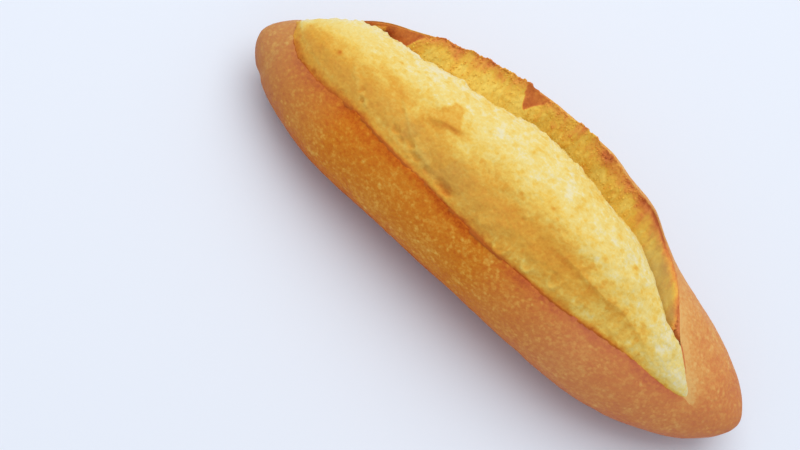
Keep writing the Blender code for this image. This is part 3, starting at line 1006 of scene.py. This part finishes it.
def flake_grids():
    """One ring grid for each flake: a ball with three unequal half axes, turned at random,
    moved to the torn wall and dented by noise. Most lie near the rim. Each takes the bake
    of the crumb that it stands on."""
    rng = np.random.default_rng(301)
    row = np.interp(rng.uniform(FLAKE_FIRST, FLAKE_LAST, FLAKE_COUNT), ear_place, np.arange(EAR_ROWS))
    row = row.round().astype(int)
    column = (WALL_COLUMNS * 0.75 * rng.random(FLAKE_COUNT) ** 3.0).astype(int)
    on_skin = skin_patch[row, column] > 0.3
    centre = wall[row, column]
    half = rng.uniform(0.00014, 0.00042, (FLAKE_COUNT, 3)) * [1.3, 0.8, 1.0]
    half[on_skin] *= 0.2
    turn, _ = np.linalg.qr(rng.normal(size=(FLAKE_COUNT, 3, 3)))
    turn[:, :, 0] *= np.sign(np.linalg.det(turn))[:, None]
    height = np.linspace(0.06, np.pi - 0.06, FLAKE_RINGS)[:, None]
    round_way = np.linspace(0, 2 * np.pi, FLAKE_SIDES, endpoint=False)[None, :]
    ball = np.stack([np.sin(height) * np.cos(round_way), np.sin(height) * np.sin(round_way),
                     np.cos(height) + 0 * round_way], axis=-1)
    grid = np.einsum("nij,rsj,nj->nrsi", turn, ball, half)
    grid = grid * (1 + 0.4 * noise(grid + centre[:, None, None], 0.0004, 311)[..., None])
    bake = toasted[row, column] + rng.uniform(-0.12, 0.16, FLAKE_COUNT)
    return grid + centre[:, None, None], bake


flakes, flake_bake = flake_grids()
flake_piece = ring_mesh("rim_flakes", flakes, flake_bake[:, None, None])

# %% [markdown]
# ## Finishes
#
# Bread has one pigment, and the oven decides how much of it there is. So each finish
# reads the bake of its points, adds fine noise, and looks the colour up on a ramp from
# pale crumb to dark toast. In places the bake also holds painted shade and painted
# highlight, and on top of the ramp the crust's ends get a painted sheen and the torn ear
# a painted shade. Crust has a thin satin skin and fine blisters. Crumb is matt, with a
# grain that is too small to model and goes into the bump instead.

# %% Finishes
class Finish:
    """A material built node by node. Each method adds one node and returns its output;
    numbers are set on the sockets themselves, and outputs are linked."""

    def __init__(self, name):
        self.material = bpy.data.materials.new(name)
        self.material.use_nodes = True
        self.tree = self.material.node_tree
        self.shader = self.tree.nodes["Principled BSDF"]
        self.where = self.tree.nodes.new("ShaderNodeTexCoord").outputs["Object"]

    def feed(self, socket, value):
        if isinstance(value, bpy.types.NodeSocket):
            self.tree.links.new(value, socket)
        else:
            socket.default_value = value

    def node(self, kind, inputs):
        """A new node of this kind with these inputs fed to its sockets."""
        node = self.tree.nodes.new("ShaderNode" + kind)
        for name, value in inputs.items():
            self.feed(node.inputs[name], value)
        return node

    def attribute(self, name):
        node = self.node("Attribute", {})
        node.attribute_name = name
        return node.outputs["Fac"]

    def noise(self, size, detail=3.0, roughness=0.55):
        inputs = {"Vector": self.where, "Scale": 1 / size, "Detail": detail, "Roughness": roughness}
        return self.node("TexNoise", inputs).outputs["Fac"]

    def cells(self, size):
        inputs = {"Vector": self.where, "Scale": 1 / size}
        return self.node("TexVoronoi", inputs).outputs["Distance"]

    def math(self, operation, first, second):
        node = self.node("Math", {0: first, 1: second})
        node.operation = operation
        return node.outputs[0]

    def span(self, value, low_in, high_in, low_out, high_out):
        inputs = {"Value": value, "From Min": low_in, "From Max": high_in, "To Min": low_out,
                  "To Max": high_out}
        return self.node("MapRange", inputs).outputs["Result"]

    def axis(self, name):
        return self.node("SeparateXYZ", {0: self.where}).outputs[name]

    def mix(self, share, first, second):
        node = self.node("Mix", {})
        node.data_type = "RGBA"
        sockets = {socket.identifier: socket for socket in [*node.inputs, *node.outputs]}
        self.feed(sockets["Factor_Float"], share)
        self.feed(sockets["A_Color"], first)
        self.feed(sockets["B_Color"], second)
        return sockets["Result_Color"]

    def ramp(self, value, stops):
        node = self.node("ValToRGB", {"Fac": value})
        elements = node.color_ramp.elements
        while len(elements) < len(stops):
            elements.new(0.5)
        for element, (at, colour) in zip(elements, stops):
            element.position = at
            element.color = (*colour, 1)
        return node.outputs["Color"]

    def bump(self, height, distance):
        inputs = {"Strength": 1.0, "Distance": distance, "Height": height}
        return self.node("Bump", inputs).outputs["Normal"]

    def finish(self, colour, roughness, normal):
        self.feed(self.shader.inputs["Base Color"], colour)
        self.feed(self.shader.inputs["Roughness"], roughness)
        self.feed(self.shader.inputs["Normal"], normal)
        return self.material


CRUST_SHINE = 0.07
CRUMB_SHINE = 0.2
# Ramps: (bake, colour). The painted sheens tint the crust towards its two ends, a painted
# reflection of the pale room, and dun is the greyer brown of thin crumb and of the shade
# painted on the torn ear.
CRUST_RAMP = [
    (0.0, (0.84, 0.52, 0.12)), (0.25, (0.78, 0.37, 0.05)), (0.5, (0.68, 0.225, 0.016)),
    (0.75, (0.61, 0.145, 0.009)), (1.0, (0.48, 0.08, 0.005))]
LEFT_PAINTED_SHEEN = (0.43, 0.26, 0.15, 1)
RIGHT_PAINTED_SHEEN = (0.66, 0.27, 0.19, 1)
DUN = (0.39, 0.236, 0.066, 1)
BLOOM_RAMP = [
    (0.0, (0.82, 0.74, 0.45)), (0.14, (0.84, 0.67, 0.225)), (0.32, (0.83, 0.555, 0.105)),
    (0.54, (0.76, 0.385, 0.046)), (0.78, (0.66, 0.235, 0.022)), (1.0, (0.52, 0.125, 0.012))]
TEAR_RAMP = [
    (0.0, (0.91, 0.67, 0.135)), (0.25, (0.88, 0.55, 0.078)), (0.5, (0.83, 0.385, 0.065)),
    (0.75, (0.73, 0.235, 0.052)), (1.0, (0.49, 0.11, 0.028))]


def crust_finish():
    """Satin crust: the bake with fine noise through the ramp, paler pin-head blisters, a
    painted sheen towards both ends, and a roughness that wanders a little."""
    paint = Finish("crust")
    bake = paint.attribute("bake")
    grain = paint.span(paint.noise(0.0014, 3.0, 0.7), 0.3, 0.7, -0.17, 0.17)
    crowd = paint.span(paint.noise(0.01, 2.0), 0.38, 0.62, 0.45, 1.0)
    flecks = paint.span(paint.noise(0.0021, 2.0, 0.6), 0.52, 0.68, 0.0, -0.23)
    pinheads = paint.span(paint.cells(0.0024), 0.12, 0.36, -0.25, 0.0)
    pale = paint.math("MULTIPLY", paint.math("ADD", flecks, pinheads), crowd)
    colour = paint.ramp(paint.math("ADD", paint.math("ADD", bake, grain), pale), CRUST_RAMP)
    # Painted sheen: towards both ends the colour is mixed with pale pinkish tans that stand for the
    # room's reflection.
    to_left = paint.span(paint.axis("X"), -0.06, -0.098, 0.0, 0.42)
    to_right = paint.span(paint.axis("X"), 0.002, 0.042, 0.0, 0.32)
    colour = paint.mix(to_right, paint.mix(to_left, colour, LEFT_PAINTED_SHEEN), RIGHT_PAINTED_SHEEN)
    roughness = paint.span(paint.noise(0.006), 0.3, 0.7, 0.42, 0.56)
    blisters = paint.math("MULTIPLY", paint.cells(0.0016), -0.5)
    relief = paint.math("ADD", paint.noise(0.0009, 3.0), blisters)
    paint.shader.inputs["Specular IOR Level"].default_value = CRUST_SHINE
    return paint.finish(colour, roughness, paint.bump(relief, 0.00022))


def crumb_finish(name, ramp, grain_size, grain_depth):
    """Matt crumb: the bake with fine noise through a pale ramp, turned towards dun where the
    crumb is thin and where shade is painted, and a grain in the bump."""
    paint = Finish(name)
    bake = paint.attribute("bake")
    grain = paint.span(paint.noise(grain_size, 3.0), 0.25, 0.75, -0.09, 0.09)
    colour = paint.ramp(paint.math("ADD", bake, grain), ramp)
    colour = paint.mix(paint.attribute("thin_crumb_and_shade"), colour, DUN)
    roughness = paint.span(paint.noise(0.005), 0.3, 0.7, 0.72, 0.92)
    relief = paint.noise(grain_size, 4.0, 0.65)
    paint.shader.inputs["Specular IOR Level"].default_value = CRUMB_SHINE
    return paint.finish(colour, roughness, paint.bump(relief, grain_depth))


crust_piece.data.materials.append(crust_finish())
ear_piece.data.materials.append(crumb_finish("torn_crumb", TEAR_RAMP, 0.001, 0.00035))
bloom_piece.data.materials.append(crumb_finish("bloom_crumb", BLOOM_RAMP, 0.0009, 0.00022))
flake_piece.data.materials.append(crumb_finish("flake_crumb", TEAR_RAMP, 0.0008, 0.0002))
print("finishes:", [material.name for material in bpy.data.materials])

# %% [markdown]
# ## Stand in for the imported roll
#
# The imported model has the roll as one solid, so the first piece takes that solid's place
# and the other three ride along with it.

# %% Stand in for the imported roll
slots = ((crust_piece, "crust"), (ear_piece, "bloom"), (bloom_piece, "bloom"), (flake_piece, "bloom"))
for piece, slot in slots:
    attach(piece, "root")
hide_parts("roll")

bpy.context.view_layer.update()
